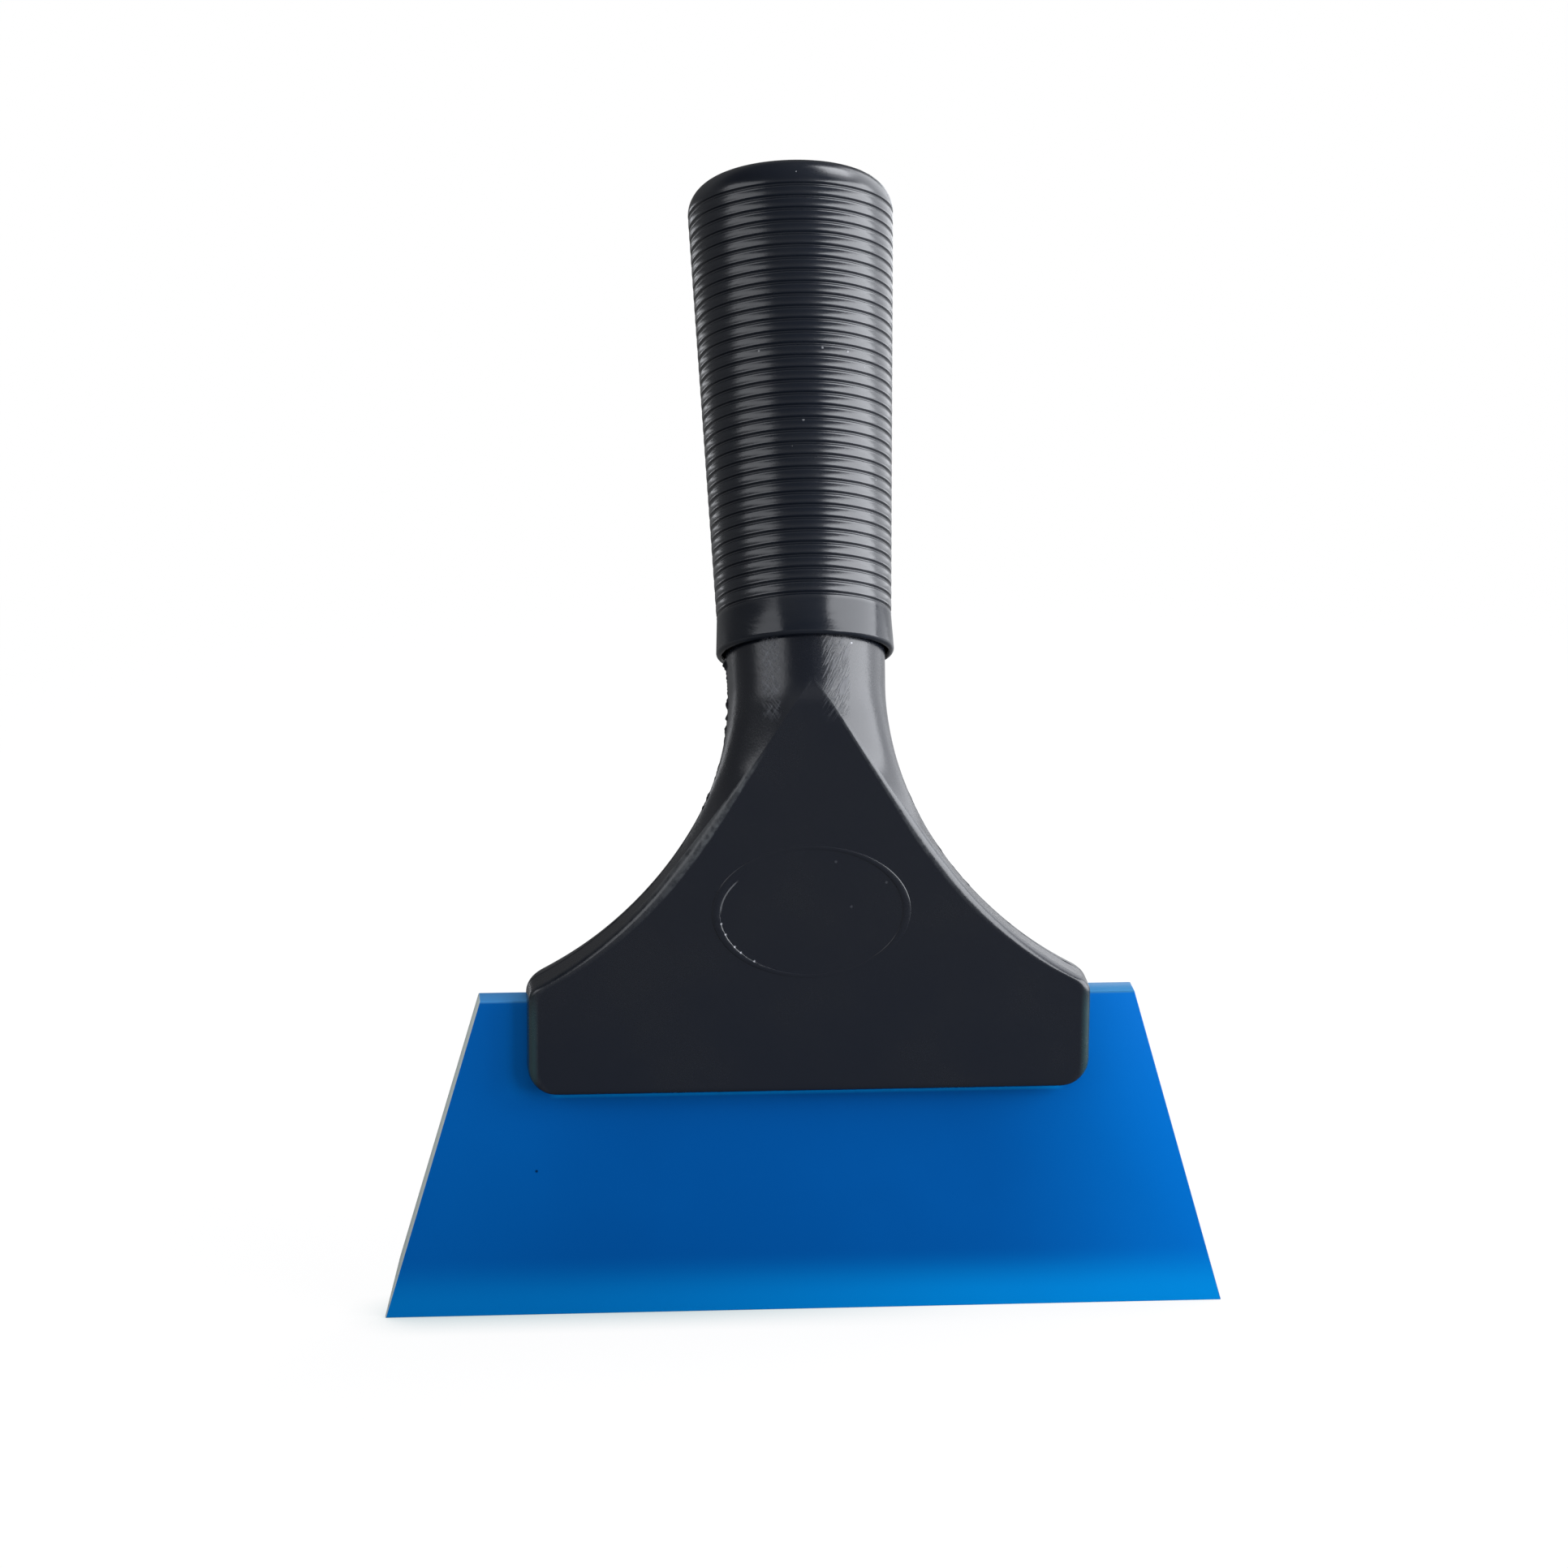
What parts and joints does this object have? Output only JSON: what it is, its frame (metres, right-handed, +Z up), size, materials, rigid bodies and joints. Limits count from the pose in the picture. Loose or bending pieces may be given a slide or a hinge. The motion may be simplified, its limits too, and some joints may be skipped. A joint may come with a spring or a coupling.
{
  "type": "plastic scraper",
  "caption": "One-hand scraper with a trapezoid plastic blade clamped in a flat fan-shaped head, and a ribbed rubber grip that leans back from it.",
  "frame": {"origin": "on the floor under the middle of the bounding box, with the blade standing on its edge", "axes": "+X to the right and +Z up, with the flat front facing -Y and the grip leaning back towards +Y"},
  "size_m": [0.14, 0.0668, 0.1872],
  "materials": {
    "black_plastic": "moulded, satin",
    "blue_urethane": "cast polyurethane, slightly translucent",
    "black_rubber": "moulded, ribbed",
    "screw_steel": "zinc plated"
  },
  "bodies": {
    "root": {"front_shell": "black_plastic", "back_shell": "black_plastic", "blade": "blue_urethane", "grip_sleeve": "black_rubber", "clamp_screw_left": "screw_steel", "clamp_screw_middle": "screw_steel", "clamp_screw_right": "screw_steel"}
  },
  "joints": []
}
